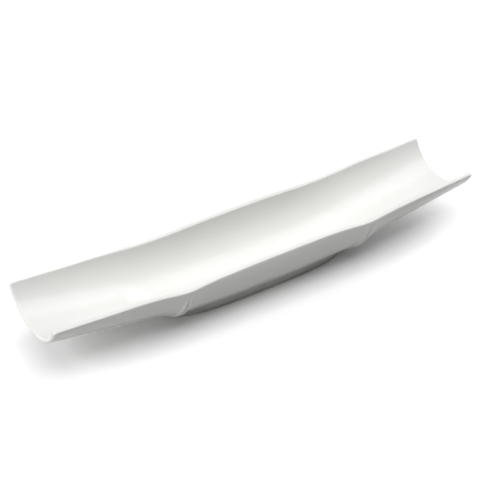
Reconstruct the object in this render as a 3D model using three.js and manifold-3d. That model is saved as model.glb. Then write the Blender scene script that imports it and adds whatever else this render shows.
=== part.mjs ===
// A long white porcelain serving platter in the form of a split bamboo cane: a half-round trough of three
// internodes with two ringed nodes between them, its ends swept up, standing on an oval foot ring.
// Millimetres, +Z up, +X along the trough. The origin is on the table, under the middle of the platter.
import * as THREE from 'three';
import { mergeVertices } from 'three/addons/utils/BufferGeometryUtils.js';
import Module from 'manifold-3d';

// Trough, measured over its finished glaze.
const length = 453;
const middleWidth = 87.6;
const endWidth = 87;
const wall = 4.4;
const middleLip = 52.3; // heights of the lip above the table
const nodeLip = 49.5;
const endLip = 58.3;
const endLipCamber = 1; // how far an end lip bows above a straight line
const middleUnderside = 3.5; // heights of the underside above the table
const nodeUnderside = 6.3;
const endUnderside = 29.8;
const endUndersideSag = 0.7; // how far an end's underside hangs below a straight line
const cornerRadius = 3; // where an end meets a lip

// Bamboo nodes.
const nodeReach = 97; // from the middle of the platter to each node
const nodeStep = 3.2; // how far the underside steps up past a node
const nodeStepRun = 24;
const nodeFlare = 1.5; // how far the lip swells out at a node
const nodeFlareInward = 17;
const nodeFlareOutward = 28;
const nodeLipBlend = 1.5; // softens the dip of the lip
const scarReach = nodeReach + 2; // the two fine rings round each node
const scarHeight = 0.9;
const scarWidth = 1.2;
const scarSpacing = 4.6;

// Foot ring, measured over its finished glaze.
const footLength = 2 * nodeReach; // the foot ends under the nodes
const footCentre = -2.5; // along the cane, from the middle of the platter
const footWidth = 44;
const footSquareness = 3.1; // exponent of the oval: 2 is an ellipse, more is squarer
const footRim = 4; // across the standing rim
const footDraft = 0.65; // how far each flank leans out, from the rim to the middle underside
const footEdge = 0.6; // chamfer of the standing rim
const bareBand = 1.4; // height of the foot that is wiped clean of glaze

// Layers.
const glaze = 0.35;
const clearance = 0.3; // between two layers, and in the slip joint of the foot

// Facets.
const middleSteps = 4;
const scarSteps = 4;
const nodeSteps = 2;
const endSteps = 5;
const cornerSteps = 2;
const tipSteps = 4;
const tipTurn = THREE.MathUtils.degToRad(77); // how far round a tip is rounded: its very end stays flat
const arcSteps = 12;
const lipSteps = 4;
const footSteps = 48;

const tip = length / 2;
const endRun = tip - nodeReach;
const edge = wall / 2;
const tipCentre = tip - edge;
const cornerTurn = Math.max(cornerRadius, edge); // a corner is never sharper than its lip
const cornerStart = tip - cornerTurn;
const footTop = (middleUnderside + nodeLip) / 2; // half-way up inside the cane
const underTable = 20; // how deep the cutting blocks go

const wasm = await Module();
wasm.setup();

const lerp = (from, to, share) => from + (to - from) * share;
const bell = (t) => Math.exp(-t * t);
const smooth = (t) => THREE.MathUtils.smoothstep(t, 0, 1);
const signedPower = (value, power) => Math.sign(value) * Math.abs(value) ** power;

// The larger of two heights, rounded where they cross.
function softMax(a, b, blend) {
  const near = Math.max(blend - Math.abs(a - b), 0) / blend;
  return Math.max(a, b) + (near * near * blend) / 4;
}

// Values from one number to another, without the first.
function spread(from, to, steps) {
  return Array.from({ length: steps }, (_, i) => lerp(from, to, (i + 1) / steps));
}

// The same, closing up towards the end as the points of an arc do.
function spreadRound(from, run, turn, steps) {
  return spread(0, turn, steps).map((angle) => from + run * Math.sin(angle));
}

// Form of the cane at a distance from its middle.

function lipHeight(reach) {
  const past = (reach - nodeReach) / endRun;
  const middle = lerp(middleLip, nodeLip, (reach / nodeReach) ** 2);
  const end = lerp(nodeLip, endLip, past) + 4 * endLipCamber * past * (1 - past);
  return softMax(middle, end, nodeLipBlend);
}

function lipHalfWidth(reach) {
  const past = Math.max(0, (reach - nodeReach) / endRun);
  const run = reach < nodeReach ? nodeFlareInward : nodeFlareOutward;
  return lerp(middleWidth, endWidth, past) / 2 + nodeFlare * bell((reach - nodeReach) / run);
}

function underside(reach) {
  const past = (reach - nodeReach) / endRun;
  const middle = lerp(middleUnderside, nodeUnderside, Math.min(1, reach / nodeReach) ** 2);
  const straight = lerp(nodeUnderside + nodeStep, endUnderside, past);
  const rising = straight - 4 * endUndersideSag * past * (1 - past);
  return lerp(middle, rising, smooth((reach - nodeReach) / nodeStepRun));
}

function scarRings(reach) {
  const fromRings = reach - scarReach;
  const inner = bell((fromRings + scarSpacing / 2) / scarWidth);
  const outer = bell((fromRings - scarSpacing / 2) / scarWidth);
  return scarHeight * (inner + outer);
}

// The round section there: an arc through both lips and the underside. The wall runs up to edgeAngle on
// either side, where the rounding of the lip begins.
function caneSection(reach) {
  const half = lipHalfWidth(reach);
  const bottom = underside(reach);
  const rise = lipHeight(reach) - bottom;
  const radius = (half * half + rise * rise) / (2 * rise);
  const centre = bottom + radius;
  const lipAngle = Math.atan2(half, radius - rise);
  const heart = radius - edge;
  const edgeAngle = lipAngle - edge / heart;
  return { radius, heart, centre, edgeAngle };
}

function onCane(x, section, radius, angle) {
  return new THREE.Vector3(x, radius * Math.sin(angle), section.centre - radius * Math.cos(angle));
}

// Where the cane is sectioned, close together at the nodes and the tips.
function caneStations(tipRadius) {
  const scarStart = scarReach - scarSpacing;
  const scarEnd = scarReach + scarSpacing;
  const nodeEnd = nodeReach + nodeStepRun;
  const right = [
    ...spread(0, scarStart, middleSteps),
    ...spread(scarStart, scarEnd, scarSteps),
    ...spread(scarEnd, nodeEnd, nodeSteps),
    ...spread(nodeEnd, cornerStart, endSteps),
    ...spread(cornerStart, tipCentre, cornerSteps),
    ...spreadRound(tipCentre, tipRadius, tipTurn, tipSteps),
  ];
  const left = right.map((reach) => -reach).reverse();
  return [...left, 0, ...right];
}

function caneArc(x, section, radius) {
  const points = [];
  for (let i = 0; i <= arcSteps; i++) {
    const angle = lerp(-section.edgeAngle, section.edgeAngle, i / arcSteps);
    points.push(onCane(x, section, radius, angle));
  }
  return points;
}

// How far a circle has fallen away from its top, at a distance to the side of it.
const roundedOff = (radius, aside) => radius - Math.sqrt(radius ** 2 - aside ** 2);

// One closed ring of points round the wall of the trough, its lips rounded. The ring starts at the -Y lip.
// Towards a tip the wall closes, and the lips turn down in the corners.
function troughRing(x, inset) {
  const reach = Math.abs(x);
  const section = caneSection(reach);
  const closing = roundedOff(edge - inset, Math.max(0, reach - tipCentre));
  const cornerDrop = roundedOff(cornerTurn - inset, Math.max(0, reach - cornerStart));
  const half = edge - inset - closing;
  section.edgeAngle -= (cornerDrop - closing) / section.heart;
  const scar = scarRings(reach);
  const lip = (side) => {
    const points = [];
    for (let i = 1; i < lipSteps; i++) {
      const turn = (i / lipSteps) * Math.PI;
      const outward = half * Math.cos(turn) + scar * Math.max(0, Math.cos(turn));
      const angle = side * (section.edgeAngle + (half * Math.sin(turn)) / section.heart);
      points.push(onCane(x, section, section.heart + outward, angle));
    }
    return points;
  };
  const outside = caneArc(x, section, section.heart + half + scar);
  const inside = caneArc(x, section, section.heart - half).reverse();
  return [...outside, ...lip(1), ...inside, ...lip(-1).reverse()];
}

// One closed ring round the cane with its hollow filled up to the lips.
function filledRing(x, inset) {
  const section = caneSection(Math.abs(x));
  return caneArc(x, section, section.radius - inset + scarRings(Math.abs(x)));
}

// Solids from rings of points.

function solidOf(geometry) {
  geometry.deleteAttribute('normal');
  geometry.deleteAttribute('uv');
  const merged = mergeVertices(geometry);
  const vertProperties = merged.attributes.position.array;
  const triVerts = new Uint32Array(merged.index.array);
  return new wasm.Manifold(new wasm.Mesh({ numProp: 3, vertProperties, triVerts }));
}

function geometryOf(solid) {
  const mesh = solid.getMesh();
  const geometry = new THREE.BufferGeometry();
  geometry.setAttribute('position', new THREE.BufferAttribute(mesh.vertProperties, 3));
  geometry.setIndex(new THREE.BufferAttribute(mesh.triVerts, 1));
  return geometry;
}

// A skin over a row of rings with caps at both ends, or over a closed loop of rings.
function bridged(rings, looped, caps) {
  const count = rings[0].length;
  const indices = [];
  const spans = looped ? rings.length : rings.length - 1;
  for (let r = 0; r < spans; r++) {
    const here = r * count;
    const next = ((r + 1) % rings.length) * count;
    for (let i = 0; i < count; i++) {
      const j = (i + 1) % count;
      indices.push(here + i, next + j, next + i, here + i, here + j, next + j);
    }
  }
  const last = (rings.length - 1) * count;
  for (const [a, b, c] of caps) {
    indices.push(a, c, b, last + a, last + b, last + c);
  }
  const geometry = new THREE.BufferGeometry().setFromPoints(rings.flat());
  geometry.setIndex(indices);
  return solidOf(geometry);
}

// The trough with its wall drawn in by an inset from the finished surface on every side.
function trough(inset) {
  const rings = caneStations(edge - inset).map((x) => troughRing(x, inset));
  const insideEnd = 2 * arcSteps + lipSteps;
  const caps = [];
  for (let i = 0; i < arcSteps; i++) {
    caps.push([i, i + 1, insideEnd - i], [i + 1, insideEnd - i - 1, insideEnd - i]);
  }
  for (let i = 1; i < lipSteps; i++) {
    caps.push([arcSteps, arcSteps + i, arcSteps + i + 1]);
    caps.push([insideEnd, insideEnd + i, (insideEnd + i + 1) % rings[0].length]);
  }
  return bridged(rings, false, caps);
}

function filledCane(inset) {
  const rings = caneStations(edge).map((x) => filledRing(x, inset));
  const caps = [];
  for (let i = 1; i < arcSteps; i++) {
    caps.push([0, i, i + 1]);
  }
  return bridged(rings, false, caps);
}

// The oval of the foot, moved out along its own normal.
function footOval(offset) {
  const points = [];
  for (let i = 0; i < footSteps; i++) {
    const turn = ((i + 0.5) / footSteps) * 2 * Math.PI;
    const shareX = signedPower(Math.cos(turn), 2 / footSquareness);
    const shareY = signedPower(Math.sin(turn), 2 / footSquareness);
    const normalX = signedPower(shareX, footSquareness - 1) / footLength;
    const normalY = signedPower(shareY, footSquareness - 1) / footWidth;
    const normal = new THREE.Vector2(normalX, normalY).normalize();
    const point = new THREE.Vector2(footCentre + (shareX * footLength) / 2, (shareY * footWidth) / 2);
    points.push(point.addScaledVector(normal, offset));
  }
  return points;
}

// A ring standing on the table and running up into the trough, its flanks drawn in by an inset.
function footBlank(inset) {
  const lean = (footDraft * footTop) / middleUnderside;
  const profile = [
    [-footEdge, 0],
    [-inset, footEdge],
    [lean - inset, footTop],
    [-footRim - lean + inset, footTop],
    [-footRim + inset, footEdge],
    [-footRim + footEdge, 0],
  ];
  const levels = profile.map(([offset, height]) =>
    footOval(offset).map((point) => new THREE.Vector3(point.x, point.y, height)),
  );
  return bridged(levels, true, []);
}

// What lies inside the middle line of the foot's wall, from under the table up into the trough.
function wellBlank() {
  const outline = new THREE.Shape(footOval(-footRim / 2));
  const block = new THREE.ExtrudeGeometry(outline, { depth: underTable + footTop, bevelEnabled: false });
  block.translate(0, 0, -underTable);
  return solidOf(block);
}

function tableBlock(top) {
  const block = new THREE.BoxGeometry(length, middleWidth, underTable + top);
  block.translate(0, 0, (top - underTable) / 2);
  return solidOf(block);
}

// Clay pieces and glaze coats.

const clayInset = glaze + clearance;
const troughClay = trough(clayInset);
const footClay = footBlank(clayInset).subtract(filledCane(clayInset - clearance));

const heartOfWall = filledCane(edge);
const skin = (inset) => trough(inset).add(footBlank(inset).subtract(heartOfWall));
const glazeShell = skin(0).subtract(skin(glaze)).subtract(tableBlock(bareBand));
const well = wellBlank().subtract(heartOfWall);

const platter = new THREE.Group();

function addPiece(name, solid, finish) {
  const mesh = new THREE.Mesh(geometryOf(solid), new THREE.MeshStandardMaterial(finish));
  mesh.name = name;
  platter.add(mesh);
}

const bisque = { color: 0xe6e3dc, roughness: 0.75, metalness: 0 };
const whiteGlaze = { color: 0xf1f2ee, roughness: 0.12, metalness: 0 };

addPiece('trough_body', troughClay, bisque);
addPiece('foot_ring', footClay, bisque);
addPiece('glaze_coat', glazeShell.subtract(well), whiteGlaze);
addPiece('foot_well_glaze', glazeShell.intersect(well), whiteGlaze);

export default platter;
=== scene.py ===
import math

import bmesh
import bpy
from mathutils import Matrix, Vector


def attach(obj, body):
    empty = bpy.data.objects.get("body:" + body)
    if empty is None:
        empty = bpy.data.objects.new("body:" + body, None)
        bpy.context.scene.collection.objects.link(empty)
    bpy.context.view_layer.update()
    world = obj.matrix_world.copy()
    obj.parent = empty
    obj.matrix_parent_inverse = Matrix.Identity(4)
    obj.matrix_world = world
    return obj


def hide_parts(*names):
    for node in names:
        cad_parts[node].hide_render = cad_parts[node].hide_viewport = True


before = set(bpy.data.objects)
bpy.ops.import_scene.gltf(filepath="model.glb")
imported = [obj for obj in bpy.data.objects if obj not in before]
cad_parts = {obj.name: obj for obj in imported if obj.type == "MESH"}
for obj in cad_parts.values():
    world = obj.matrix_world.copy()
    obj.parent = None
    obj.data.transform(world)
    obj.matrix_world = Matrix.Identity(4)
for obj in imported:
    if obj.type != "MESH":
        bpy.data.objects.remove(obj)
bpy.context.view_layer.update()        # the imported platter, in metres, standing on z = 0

mm = 0.001

# The split cane, over its finished glaze. Heights are above the table.
cane = {
    "length": 453 * mm,
    "middleWidth": 87.6 * mm,
    "endWidth": 87 * mm,
    "wall": 4.4 * mm,
    "middleLip": 52.3 * mm,
    "nodeLip": 49.5 * mm,
    "endLip": 58.3 * mm,
    "endLipCamber": 1 * mm,
    "lipSwell": 0.8 * mm,        # the lips stand a little higher in two places
    "lipSwells": {62 * mm: 42 * mm, -136 * mm: 26 * mm},     # place along the cane, and its run
    "farLipSwell": 1.2 * mm,     # the lip on the +Y side, higher still
    "farLipSwells": {25 * mm: 90 * mm, 150 * mm: 26 * mm},
    "middleUnderside": 3.5 * mm,
    "nodeUnderside": 6.3 * mm,
    "endUnderside": 29.8 * mm,
    "endUndersideSag": 0.7 * mm,
    "lipSquareness": 4,          # 2 is a round lip, more is squarer
    "cornerRadius": 3 * mm,      # where an end meets a lip
}

# The two ringed nodes.
node = {
    "reach": 97 * mm,            # from the middle of the platter
    "step": 3.2 * mm,            # rise of the underside past a node
    "stepRun": 24 * mm,
    "insideLead": 12 * mm,       # the inside rises more gently, over a longer run
    "insideRun": 48 * mm,
    "flare": 1.5 * mm,           # swelling of the lip
    "flareInward": 17 * mm,
    "flareOutward": 28 * mm,
    "lipBlend": 1.5 * mm,
    "scarReach": 99 * mm,        # two fine scars round the outside, from their own centre
    "scarCentre": -3.6 * mm,
    "scarHeight": 1.7 * mm,
    "scarWidth": 1 * mm,
    "grooveDepth": 1.2 * mm,     # between them
    "scarSpacing": 4.6 * mm,
    "scarLean": 6.5 * mm,        # towards +X, from under the cane up to the lips
    "scarFade": 0.25,            # share of the way up, below a lip
}

# The oval foot under the middle internode.
foot = {
    "length": 2 * node["reach"],
    "centre": -2.5 * mm,         # along the cane
    "width": 44 * mm,
    "squareness": 3.1,           # 2 is an ellipse, more is squarer
    "rim": 4 * mm,
    "lean": 0.65 / 3.5,          # outward, for each unit of height
    "edge": 0.6 * mm,            # rounding of the standing rim
    "bareBand": 1.4 * mm,        # wiped clean of glaze, up to a wavy edge
    "waves": 5,
    "waveHeight": 0.12 * mm,
    "ripples": 13,
    "rippleHeight": 0.08 * mm,
    "filletReach": 3 * mm,       # where the fillet leaves the trough, from the foot's outline
    "filletDrop": 2 * mm,
}

layers = {
    "glaze": 0.35 * mm,
    "clearance": 0.3 * mm,       # between the glaze and the trough's clay
    "ringClearance": 0.05 * mm,  # between the glaze and the foot's clay
}

tip = cane["length"] / 2
edge = cane["wall"] / 2
tipCentre = tip - edge
cornerStart = tip - cane["cornerRadius"]
endRun = tip - node["reach"]


def lerp(start, stop, share):
    return start + (stop - start) * share


def clamp(value, low, high):
    return max(low, min(high, value))


def bell(t):
    return math.exp(-t * t)


def smooth(t):
    t = clamp(t, 0, 1)
    return t * t * (3 - 2 * t)


def softMax(a, b, blend):    # the larger height, rounded where the two cross
    near = max(blend - abs(a - b), 0) / blend
    return max(a, b) + near * near * blend / 4


# Form of the cane at a distance from its middle.

def lipHeight(reach):
    past = (reach - node["reach"]) / endRun
    middle = lerp(cane["middleLip"], cane["nodeLip"], (reach / node["reach"]) ** 2)
    end = lerp(cane["nodeLip"], cane["endLip"], past) + 4 * cane["endLipCamber"] * past * (1 - past)
    return softMax(middle, end, node["lipBlend"])


def lipHalfWidth(reach):
    past = max(0, (reach - node["reach"]) / endRun)
    run = node["flareInward"] if reach < node["reach"] else node["flareOutward"]
    flare = node["flare"] * bell((reach - node["reach"]) / run)
    return lerp(cane["middleWidth"], cane["endWidth"], past) / 2 + flare


def underside(reach, lead, run):
    past = (reach - node["reach"]) / endRun
    middle = lerp(cane["middleUnderside"], cane["nodeUnderside"], min(1, reach / node["reach"]) ** 2)
    straight = lerp(cane["nodeUnderside"] + node["step"], cane["endUnderside"], past)
    rising = straight - 4 * cane["endUndersideSag"] * past * (1 - past)
    return lerp(middle, rising, smooth((reach + lead - node["reach"]) / run))


def scarLean(share):    # share runs from 0 under the cane to 1 at a lip
    return node["scarLean"] * share ** 3


def scarRings(x, share):
    fromRing = abs(x - node["scarCentre"] - scarLean(share)) - node["scarReach"]
    half = node["scarSpacing"] / 2
    inner = bell((fromRing + half) / node["scarWidth"])
    outer = bell((fromRing - half) / node["scarWidth"])
    groove = bell(fromRing / node["scarWidth"])
    relief = node["scarHeight"] * (inner + outer) - node["grooveDepth"] * groove
    return relief * smooth((1 - share) / node["scarFade"])


def swelling(x, swells):
    return sum(bell((x - place) / run) for place, run in swells.items())


def caneSection(x, inner=False):    # an arc through both lips and the underside
    reach = abs(x)
    half = lipHalfWidth(reach)
    bottom = underside(reach, 0, node["stepRun"])
    if inner:
        bottom = underside(reach, node["insideLead"], node["insideRun"])
    rise = lipHeight(reach) + cane["lipSwell"] * swelling(x, cane["lipSwells"]) - bottom
    radius = (half * half + rise * rise) / (2 * rise)
    lipAngle = math.atan2(half, radius - rise)
    heart = radius - edge
    edgeAngle = lipAngle - edge / heart    # where the rounding of the lip begins
    return {"heart": heart, "centre": bottom + radius, "edgeAngle": edgeAngle}


def skinHeight(x, y, inset=0.0):    # height of the outside over a point of the table
    section = caneSection(x)
    radius = section["heart"] + edge - inset + scarRings(x, min(1, abs(y) / cane["endWidth"] * 2))
    return section["centre"] - math.sqrt(radius ** 2 - y * y)


# Meshes.

meshing = {
    "sharpAngle": math.radians(40),    # flatter edges are shaded smooth
    "weld": 0.001 * mm,                # points nearer than this are one
    "rimWeld": 0.05 * mm,              # round the cut for the foot
}


def newPiece(name, bm, material, replaced):
    mesh = bpy.data.meshes.new(name)
    bm.to_mesh(mesh)
    bm.free()
    mesh.shade_smooth()
    mesh.set_sharp_from_angle(angle=meshing["sharpAngle"])
    piece = bpy.data.objects.new(name, mesh)
    bpy.context.scene.collection.objects.link(piece)
    piece.data.materials.append(material)
    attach(piece, "root")
    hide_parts(replaced)
    print(name, len(mesh.polygons), "faces")


wallMesh = {
    "middleSteps": 30,
    "scarSteps": 50,
    "scarBlend": 60 * mm,        # from a scar, where the mesh stops leaning with it
    "nodeSteps": 10,
    "endSteps": 34,
    "cornerSteps": 4,
    "tipSteps": 10,
    "arcSteps": 60,
    "lipSteps": 14,
}


def spread(start, stop, steps):
    return [lerp(start, stop, (i + 1) / steps) for i in range(steps)]


def spreadRound(start, run, steps):    # closing up towards the end, as the points of an arc do
    return [start + run * math.sin(turn) for turn in spread(0, math.pi / 2, steps)]


def caneStations(tipRadius):
    scarStart = node["scarReach"] - node["scarSpacing"] - abs(node["scarCentre"])
    scarEnd = node["scarReach"] + node["scarSpacing"] + abs(node["scarCentre"])
    nodeEnd = node["reach"] + node["stepRun"]
    right = spread(0, scarStart, wallMesh["middleSteps"])
    right += spread(scarStart, scarEnd, wallMesh["scarSteps"])
    right += spread(scarEnd, nodeEnd, wallMesh["nodeSteps"])
    right += spread(nodeEnd, cornerStart, wallMesh["endSteps"])
    right += spread(cornerStart, tipCentre, wallMesh["cornerSteps"])
    right += spreadRound(tipCentre, tipRadius, wallMesh["tipSteps"])
    return [-x for x in reversed(right)] + [0] + right


def squared(value):
    return math.copysign(abs(value) ** (2 / cane["lipSquareness"]), value)


def roundedOff(radius, aside):    # how far a circle has fallen from its top
    return radius - math.sqrt(max(0, radius ** 2 - max(0, aside) ** 2))


def leaning(x, share):    # the mesh follows the scars, and is upright elsewhere
    aside = abs(abs(x - node["scarCentre"]) - node["scarReach"])
    return x + scarLean(abs(share)) * smooth(2 - 2 * aside / wallMesh["scarBlend"])


def wallPoint(station, step, inset):    # a step round the wall: outside, lip, inside, lip
    closing = roundedOff(edge - inset, abs(station) - tipCentre)    # of the wall, towards a tip
    cornerDrop = roundedOff(cane["cornerRadius"] - inset, abs(station) - cornerStart)
    half = edge - inset - closing
    arc, lip = wallMesh["arcSteps"], wallMesh["lipSteps"]
    side = 1 if step <= arc + lip else -1
    along = step if side > 0 else step - arc - lip
    turn = math.pi * clamp((along - arc) / lip, 0, 1)
    if side < 0:
        turn = math.pi - turn
    share = min(1, along / arc) * 2 - 1
    x = leaning(station, share)
    outside, inside = caneSection(x), caneSection(x, inner=True)
    across, over = squared(math.cos(turn)), squared(math.sin(turn))
    section = {key: lerp(outside[key], inside[key], (1 - across) / 2) for key in outside}
    edgeAngle = section["edgeAngle"] - (cornerDrop - closing) / section["heart"]
    farSwell = cane["farLipSwell"] * swelling(x, cane["farLipSwells"]) * max(0, side * share)
    angle = side * (edgeAngle * share + half * over / section["heart"]) + farSwell / section["heart"]
    outward = half * across + scarRings(x, abs(share)) * max(0, across)
    radius = section["heart"] + outward
    return Vector((x, radius * math.sin(angle), section["centre"] - radius * math.cos(angle)))


def wrapTrough(inset):    # a flat sheet wrapped round the wall, and its seams closed
    bm = bmesh.new()
    stations = caneStations(edge - inset)
    around = 2 * (wallMesh["arcSteps"] + wallMesh["lipSteps"])
    sheet = bmesh.ops.create_grid(bm, x_segments=len(stations) - 1, y_segments=around, size=1)
    for vert in sheet["verts"]:
        column = round((vert.co.x + 1) / 2 * (len(stations) - 1))
        step = round((vert.co.y + 1) / 2 * around)
        vert.co = wallPoint(stations[column], step, inset)
    bmesh.ops.remove_doubles(bm, verts=bm.verts, dist=meshing["weld"])
    bmesh.ops.recalc_face_normals(bm, faces=bm.faces)
    return bm


def footOutward(x, y):    # plan normal of the oval through a point
    power = foot["squareness"] - 1
    along = x - foot["centre"]
    normalX = math.copysign(abs(2 * along / foot["length"]) ** power, along) / foot["length"]
    normalY = math.copysign(abs(2 * y / foot["width"]) ** power, y) / foot["width"]
    return Vector((normalX, normalY, 0)).normalized()


def footOval(turn, offset):
    shareX = math.copysign(abs(math.cos(turn)) ** (2 / foot["squareness"]), math.cos(turn))
    shareY = math.copysign(abs(math.sin(turn)) ** (2 / foot["squareness"]), math.sin(turn))
    point = Vector((foot["centre"] + shareX * foot["length"] / 2, shareY * foot["width"] / 2, 0))
    return point + footOutward(point.x, point.y) * offset


ovalMesh = {
    "steps": 192,
    "filletSteps": 7,
    "flankSteps": 5,
    "edgeSteps": 4,
    "flankTries": 6,             # rounds to find where a flank meets the underside
    "blockRings": 4,
    "wellRings": 14,
    "wellSpine": 0.8,            # share of the well's length that the innermost ring keeps
}


def ovalRows(rows):    # an oval loop extruded from row to row; each row is a function of the turn
    bm = bmesh.new()
    turnLayer = bm.verts.layers.float.new("turn")
    loop = bmesh.ops.create_circle(bm, segments=ovalMesh["steps"], radius=1)
    for vert in loop["verts"]:
        vert[turnLayer] = math.atan2(vert.co.y, vert.co.x)
        vert.co = rows[0](vert[turnLayer])
    edges = list(bm.edges)
    for row in rows[1:]:
        made = bmesh.ops.extrude_edge_only(bm, edges=edges)["geom"]
        edges = [part for part in made if isinstance(part, bmesh.types.BMEdge) and part.is_boundary]
        for vert in (part for part in made if isinstance(part, bmesh.types.BMVert)):
            vert.co = row(vert[turnLayer])
    bmesh.ops.remove_doubles(bm, verts=bm.verts, dist=meshing["weld"])
    return bm


def flankPoint(turn, height, offset):
    point = footOval(turn, offset)
    point.z = height
    return point


def curveThrough(start, control, stop, share):
    return start * (1 - share) ** 2 + control * 2 * share * (1 - share) + stop * share ** 2


def glazeLine(turn):    # the wiped edge of the glaze, never quite level
    wave = foot["waveHeight"] * math.sin(foot["waves"] * turn)
    ripple = foot["rippleHeight"] * math.sin(foot["ripples"] * turn + 1)
    return foot["bareBand"] + wave + ripple


def raisedTo(base, outward, lean):    # where a leaning flank meets the underside
    height = cane["nodeUnderside"]
    for _ in range(ovalMesh["flankTries"]):
        point = base + outward * lean * height
        height = skinHeight(point.x, point.y)
    point = base + outward * lean * height
    point.z = height
    return point


def footBlock():    # what the foot takes out of the trough's skin, up to the middle of its wall
    def wall(turn):
        return flankPoint(turn, -cane["wall"], foot["filletReach"])

    def ceiling(share):
        def row(turn):
            point = footOval(turn, foot["filletReach"])
            point.x = lerp(foot["centre"], point.x, lerp(ovalMesh["wellSpine"], 1, share))
            point.y *= share
            point.z = skinHeight(point.x, point.y, edge)
            return point
        return row

    shares = [1] + spread(1, 0, ovalMesh["blockRings"])
    bm = ovalRows([wall] + [ceiling(share) for share in shares])
    bmesh.ops.edgeloop_fill(bm, edges=[e for e in bm.edges if e.is_boundary])
    bmesh.ops.recalc_face_normals(bm, faces=bm.faces)
    for face in bm.faces:
        face.material_index = 1
    return bm


def looseObject(name, bm):
    mesh = bpy.data.meshes.new(name)
    bm.to_mesh(mesh)
    bm.free()
    for _ in range(2):
        mesh.materials.append(None)
    loose = bpy.data.objects.new(name, mesh)
    bpy.context.scene.collection.objects.link(loose)
    return loose


def cutOpen(bm, block):    # the skin without what the block covers
    skin = looseObject("skin", bm)
    cutter = looseObject("cutter", block)
    cut = skin.modifiers.new("footCut", "BOOLEAN")
    cut.operation = "DIFFERENCE"
    cut.solver = "MANIFOLD"
    cut.material_mode = "INDEX"
    cut.object = cutter
    opened = bmesh.new()
    opened.from_mesh(skin.evaluated_get(bpy.context.evaluated_depsgraph_get()).to_mesh())
    pocket = [face for face in opened.faces if face.material_index == 1]
    bmesh.ops.delete(opened, geom=pocket, context="FACES")
    rim = [vert for vert in opened.verts if vert.is_boundary]
    bmesh.ops.remove_doubles(opened, verts=rim, dist=meshing["rimWeld"])
    for loose in (skin, cutter):
        mesh = loose.data
        bpy.data.objects.remove(loose)
        bpy.data.meshes.remove(mesh)
    return opened


def growFoot(bm):    # fillet and flank, from the rim of the opening down to the wiped edge
    rootLayer = bm.verts.layers.float_vector.new("root")
    edges = [part for part in bm.edges if part.is_boundary]
    for vert in {vert for part in edges for vert in part.verts}:
        vert[rootLayer] = vert.co
    fillet, flank = ovalMesh["filletSteps"], ovalMesh["flankSteps"]
    for step in range(1, fillet + flank + 1):
        made = bmesh.ops.extrude_edge_only(bm, edges=edges)["geom"]
        edges = [part for part in made if isinstance(part, bmesh.types.BMEdge) and part.is_boundary]
        for vert in (part for part in made if isinstance(part, bmesh.types.BMVert)):
            root = vert[rootLayer].copy()
            plan = Vector((root.x, root.y, 0))
            outward = footOutward(plan.x, plan.y)
            base = plan - outward * foot["filletReach"]
            outward = footOutward(base.x, base.y)
            base = plan - outward * foot["filletReach"]
            corner = raisedTo(base, outward, foot["lean"])
            low = corner - (outward * foot["lean"] + Vector((0, 0, 1))) * foot["filletDrop"]
            if step <= fillet:
                vert.co = curveThrough(root, corner, low, step / fillet)
            else:
                turn = math.atan2(base.y / foot["width"], (base.x - foot["centre"]) / foot["length"])
                height = lerp(low.z, glazeLine(turn), (step - fillet) / flank)
                vert.co = base + outward * foot["lean"] * height + Vector((0, 0, height))


def buildGlazeCoat(material):
    bm = cutOpen(wrapTrough(0), footBlock())
    growFoot(bm)
    bmesh.ops.recalc_face_normals(bm, faces=bm.faces)
    bmesh.ops.solidify(bm, geom=list(bm.faces), thickness=layers["glaze"])
    newPiece("glazeCoat", bm, material, "glaze_coat")


def wellCorner(turn):    # where the foot's inner flank meets the underside
    base = footOval(turn, -foot["rim"])
    return raisedTo(base, -footOutward(base.x, base.y), foot["lean"])


def buildFootWell(material):
    def flank(share):
        def row(turn):
            top = wellCorner(turn).z - foot["filletDrop"] / 2
            height = lerp(glazeLine(turn), top, share)
            return flankPoint(turn, height, -foot["rim"] - foot["lean"] * height)
        return row

    def ceiling(share):
        def row(turn):
            point = footOval(turn, -foot["rim"] - foot["filletReach"] / 2)
            point.x = lerp(foot["centre"], point.x, lerp(ovalMesh["wellSpine"], 1, share))
            point.y *= share
            point.z = skinHeight(point.x, point.y)
            return point
        return row

    def fillet(share):
        return lambda turn: curveThrough(flank(1)(turn), wellCorner(turn), ceiling(1)(turn), share)

    rows = [flank(0)] + [flank(share) for share in spread(0, 1, ovalMesh["flankSteps"])]
    rows += [fillet(share) for share in spread(0, 1, ovalMesh["filletSteps"])]
    rows += [ceiling(share) for share in spread(1, 0, ovalMesh["wellRings"])]
    bm = ovalRows(rows)
    bmesh.ops.recalc_face_normals(bm, faces=bm.faces)
    if sum(face.normal.z for face in bm.faces) > 0:    # the glaze looks down
        bmesh.ops.reverse_faces(bm, faces=bm.faces)
    bmesh.ops.solidify(bm, geom=list(bm.faces), thickness=layers["glaze"])
    newPiece("footWellGlaze", bm, material, "foot_well_glaze")


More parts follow.
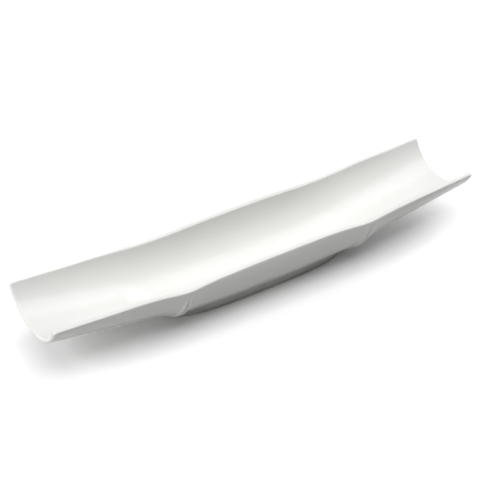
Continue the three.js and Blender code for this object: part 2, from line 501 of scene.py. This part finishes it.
def buildFootRing(material):    # bare porcelain: seen as the standing rim, hidden higher up
    inset = layers["glaze"] + layers["ringClearance"]
    turnRadius = foot["edge"]

    def outer(height):
        return lambda turn: flankPoint(turn, height, foot["lean"] * height - inset)

    def inner(height):
        return lambda turn: flankPoint(turn, height, inset - foot["rim"] - foot["lean"] * height)

    def outerTurn(share):
        angle = share * math.pi / 2
        height = turnRadius * (1 - math.sin(angle))
        offset = foot["lean"] * turnRadius - inset - turnRadius * (1 - math.cos(angle))
        return lambda turn: flankPoint(turn, height, offset)

    def innerTurn(share):
        angle = share * math.pi / 2
        height = turnRadius * (1 - math.cos(angle))
        offset = inset - foot["rim"] - foot["lean"] * turnRadius + turnRadius * (1 - math.sin(angle))
        return lambda turn: flankPoint(turn, height, offset)

    def top(offset):
        def row(turn):
            point = footOval(turn, offset)
            point.z = skinHeight(point.x, point.y, inset)
            return point
        return row

    shoulder = cane["middleUnderside"]
    outerTop = foot["lean"] * shoulder - inset
    innerTop = -foot["rim"] - outerTop
    rows = [top(lerp(innerTop, outerTop, share)) for share in (0, 0.5, 1)]
    rows += [outer(shoulder), outer(turnRadius)]
    rows += [outerTurn(share) for share in spread(0, 1, ovalMesh["edgeSteps"])]
    rows += [innerTurn(share) for share in spread(0, 1, ovalMesh["edgeSteps"])]
    rows += [inner(shoulder), top(innerTop)]
    bm = ovalRows(rows)
    bmesh.ops.recalc_face_normals(bm, faces=bm.faces)
    newPiece("footRing", bm, material, "foot_ring")


def buildTroughBody(material):    # the clay under the glaze
    bm = wrapTrough(layers["glaze"] + layers["clearance"])
    newPiece("troughBody", bm, material, "trough_body")


# Materials.

def startMaterial(name):
    material = bpy.data.materials.new(name)
    material.use_nodes = True
    shader = material.node_tree.nodes["Principled BSDF"]
    place = material.node_tree.nodes.new("ShaderNodeTexCoord")
    return material, shader, place.outputs["Object"]


def noiseOn(material, place, size, detail):    # size of the blotches, in metres
    noise = material.node_tree.nodes.new("ShaderNodeTexNoise")
    noise.inputs["Scale"].default_value = 1 / size
    noise.inputs["Detail"].default_value = detail
    material.node_tree.links.new(place, noise.inputs["Vector"])
    return noise.outputs["Fac"]


noiseSpan = (0.3, 0.7)    # what the noise seldom leaves


def tonesOf(material, share, low, high):
    ramp = material.node_tree.nodes.new("ShaderNodeValToRGB")
    for stop, place, tone in zip(ramp.color_ramp.elements, noiseSpan, (low, high)):
        stop.position = place
        stop.color = (*tone, 1)
    material.node_tree.links.new(share, ramp.inputs["Fac"])
    return ramp.outputs["Color"]


def rangeOf(material, share, low, high):
    span = material.node_tree.nodes.new("ShaderNodeMapRange")
    span.inputs["From Min"].default_value, span.inputs["From Max"].default_value = noiseSpan
    span.inputs["To Min"].default_value = low
    span.inputs["To Max"].default_value = high
    material.node_tree.links.new(share, span.inputs["Value"])
    return span.outputs["Result"]


def bumpOf(material, share, depth):
    bump = material.node_tree.nodes.new("ShaderNodeBump")
    bump.inputs["Distance"].default_value = depth
    material.node_tree.links.new(share, bump.inputs["Height"])
    return bump.outputs["Normal"]


# Blotches of tone, sheen and relief: their size and how many finer sizes are mixed in.
glossy = {
    "toneBlotch": (60 * mm, 3),
    "sheenBlotch": (25 * mm, 2),
    "roughness": (0.17, 0.23),
    "relief": (6 * mm, 1),
    "reliefDepth": 0.02 * mm,
    "ior": 1.5,
}

unglazed = {
    "toneBlotch": (4 * mm, 6),
    "sheenBlotch": (3 * mm, 4),
    "roughness": (0.55, 0.75),
    "relief": (0.5 * mm, 4),
    "reliefDepth": 0.03 * mm,
    "ior": 1.5,
}


def porcelain(name, surface, low, high):    # low and high are its darkest and lightest tones
    material, shader, place = startMaterial(name)
    links = material.node_tree.links
    tone = noiseOn(material, place, *surface["toneBlotch"])
    links.new(tonesOf(material, tone, low, high), shader.inputs["Base Color"])
    sheen = noiseOn(material, place, *surface["sheenBlotch"])
    links.new(rangeOf(material, sheen, *surface["roughness"]), shader.inputs["Roughness"])
    relief = noiseOn(material, place, *surface["relief"])
    links.new(bumpOf(material, relief, surface["reliefDepth"]), shader.inputs["Normal"])
    shader.inputs["IOR"].default_value = surface["ior"]
    return material


whiteGlaze = porcelain("whiteGlaze", glossy, (0.79, 0.795, 0.772), (0.81, 0.815, 0.792))
wellGlaze = porcelain("wellGlaze", glossy, (0.775, 0.78, 0.755), (0.80, 0.805, 0.78))
barePorcelain = porcelain("barePorcelain", unglazed, (0.78, 0.765, 0.73), (0.83, 0.82, 0.79))
bisquePorcelain = porcelain("bisquePorcelain", unglazed, (0.82, 0.81, 0.78), (0.86, 0.85, 0.82))

buildGlazeCoat(whiteGlaze)
buildFootWell(wellGlaze)
buildFootRing(barePorcelain)
buildTroughBody(bisquePorcelain)


# Floor, lamps and camera.

studio = {
    "floorSpan": 3.2,
    "floorColour": (0.5, 0.5, 0.5, 1),    # what the floor throws back on the platter
    "floorLift": 0.02,                    # its own light at the middle
    "floorFade": (0.05, 0.8),             # from the middle: where that light grows, and where it is full
    "dimWorld": 0.0,                      # what the backdrop throws on the platter
}


def seenDirectly(tree):    # 1 for what the camera, a reflection or clear glass looks at
    nodes, links = tree.nodes, tree.links
    path = nodes.new("ShaderNodeLightPath")
    reflected = nodes.new("ShaderNodeMath")
    reflected.operation = "MAXIMUM"
    links.new(path.outputs["Is Camera Ray"], reflected.inputs[0])
    links.new(path.outputs["Is Glossy Ray"], reflected.inputs[1])
    seen = nodes.new("ShaderNodeMath")
    seen.operation = "MAXIMUM"
    links.new(reflected.outputs[0], seen.inputs[0])
    links.new(path.outputs["Is Transmission Ray"], seen.inputs[1])
    return seen.outputs[0]


def floorMaterial():
    material = bpy.data.materials.new("whiteFloor")
    material.use_nodes = True
    nodes, links = material.node_tree.nodes, material.node_tree.links
    nodes.remove(nodes["Principled BSDF"])
    bounce = nodes.new("ShaderNodeBsdfDiffuse")
    bounce.inputs["Color"].default_value = studio["floorColour"]
    paper = nodes.new("ShaderNodeBsdfDiffuse")
    paper.inputs["Color"].default_value = (1, 1, 1, 1)
    place = nodes.new("ShaderNodeTexCoord")
    away = nodes.new("ShaderNodeVectorMath")
    away.operation = "LENGTH"
    links.new(place.outputs["Object"], away.inputs[0])
    fade = nodes.new("ShaderNodeMapRange")
    fade.interpolation_type = "SMOOTHSTEP"
    fade.inputs["From Min"].default_value, fade.inputs["From Max"].default_value = studio["floorFade"]
    fade.inputs["To Min"].default_value = studio["floorLift"]
    links.new(away.outputs["Value"], fade.inputs["Value"])
    lift = nodes.new("ShaderNodeEmission")
    links.new(fade.outputs["Result"], lift.inputs["Strength"])
    lifted = nodes.new("ShaderNodeAddShader")
    links.new(paper.outputs[0], lifted.inputs[0])
    links.new(lift.outputs[0], lifted.inputs[1])
    mix = nodes.new("ShaderNodeMixShader")
    links.new(seenDirectly(material.node_tree), mix.inputs["Fac"])
    links.new(bounce.outputs[0], mix.inputs[1])
    links.new(lifted.outputs[0], mix.inputs[2])
    links.new(mix.outputs[0], nodes["Material Output"].inputs["Surface"])
    return material


def buildFloor():
    bm = bmesh.new()
    bmesh.ops.create_grid(bm, x_segments=1, y_segments=1, size=studio["floorSpan"] / 2)
    mesh = bpy.data.meshes.new("floor")
    bm.to_mesh(mesh)
    bm.free()
    mesh.materials.append(floorMaterial())
    floor = bpy.data.objects.new("floor", mesh)
    bpy.context.scene.collection.objects.link(floor)


def buildWorld():
    world = bpy.data.worlds.new("studio")
    bpy.context.scene.world = world
    world.use_nodes = True
    nodes, links = world.node_tree.nodes, world.node_tree.links
    dim = nodes["Background"]
    dim.inputs["Color"].default_value = (1, 1, 1, 1)
    dim.inputs["Strength"].default_value = studio["dimWorld"]
    white = nodes.new("ShaderNodeBackground")
    white.inputs["Color"].default_value = (1, 1, 1, 1)
    mix = nodes.new("ShaderNodeMixShader")
    links.new(seenDirectly(world.node_tree), mix.inputs["Fac"])
    links.new(dim.outputs[0], mix.inputs[1])
    links.new(white.outputs[0], mix.inputs[2])
    links.new(mix.outputs[0], nodes["World Output"].inputs["Surface"])


lamps = {
    "topSoftbox": {"place": (0, -0.22, 1.2), "size": (1.8, 1.0), "power": 12.2},
    "leftSoftbox": {"place": (-1.5, 0, 0.76), "size": (1.4, 1.0), "power": 16.5},
    "rightSoftbox": {"place": (1.4, 0.15, 0.95), "size": (1.2, 1.0), "power": 12.6},
    "backSoftbox": {"place": (0, 1.64, 0.44), "size": (1.6, 0.6), "power": 7.2},
}


def buildLamp(name):
    settings = lamps[name]
    lamp = bpy.data.lights.new(name, "AREA")
    lamp.shape = "RECTANGLE"
    lamp.size, lamp.size_y = settings["size"]
    lamp.energy = settings["power"]
    softbox = bpy.data.objects.new(name, lamp)
    softbox.location = settings["place"]
    softbox.rotation_euler = (-softbox.location).to_track_quat("-Z", "Y").to_euler()
    softbox.visible_camera = False
    bpy.context.scene.collection.objects.link(softbox)


buildFloor()
buildWorld()
for lampName in lamps:
    buildLamp(lampName)
print("studio", len(lamps), "softboxes")

viewpoint = {
    "azimuth": -33.757,          # degrees; 0 looks along +Y
    "elevation": 33.887,
    "distance": 1.22064,
    "aimRight": 13.554 * mm,     # of the platter's foot, from the middle of the picture
    "aimUp": -34.897 * mm,
    "lens": 97.705,              # mm, as the sensor
    "sensor": 36,
}


def buildCamera():
    azimuth = math.radians(viewpoint["azimuth"])
    elevation = math.radians(viewpoint["elevation"])
    back = Vector((math.sin(azimuth) * math.cos(elevation),
                   -math.cos(azimuth) * math.cos(elevation),
                   math.sin(elevation)))
    right = Vector((math.cos(azimuth), math.sin(azimuth), 0))
    up = back.cross(right)
    lens = bpy.data.cameras.new("camera")
    lens.sensor_width = viewpoint["sensor"]
    lens.lens = viewpoint["lens"]
    camera = bpy.data.objects.new("camera", lens)
    aim = right * viewpoint["aimRight"] + up * viewpoint["aimUp"]
    camera.location = back * viewpoint["distance"] - aim
    camera.rotation_euler = (-back).to_track_quat("-Z", "Y").to_euler()
    bpy.context.scene.collection.objects.link(camera)
    bpy.context.scene.camera = camera


buildCamera()
bpy.context.scene.view_settings.view_transform = "Standard"
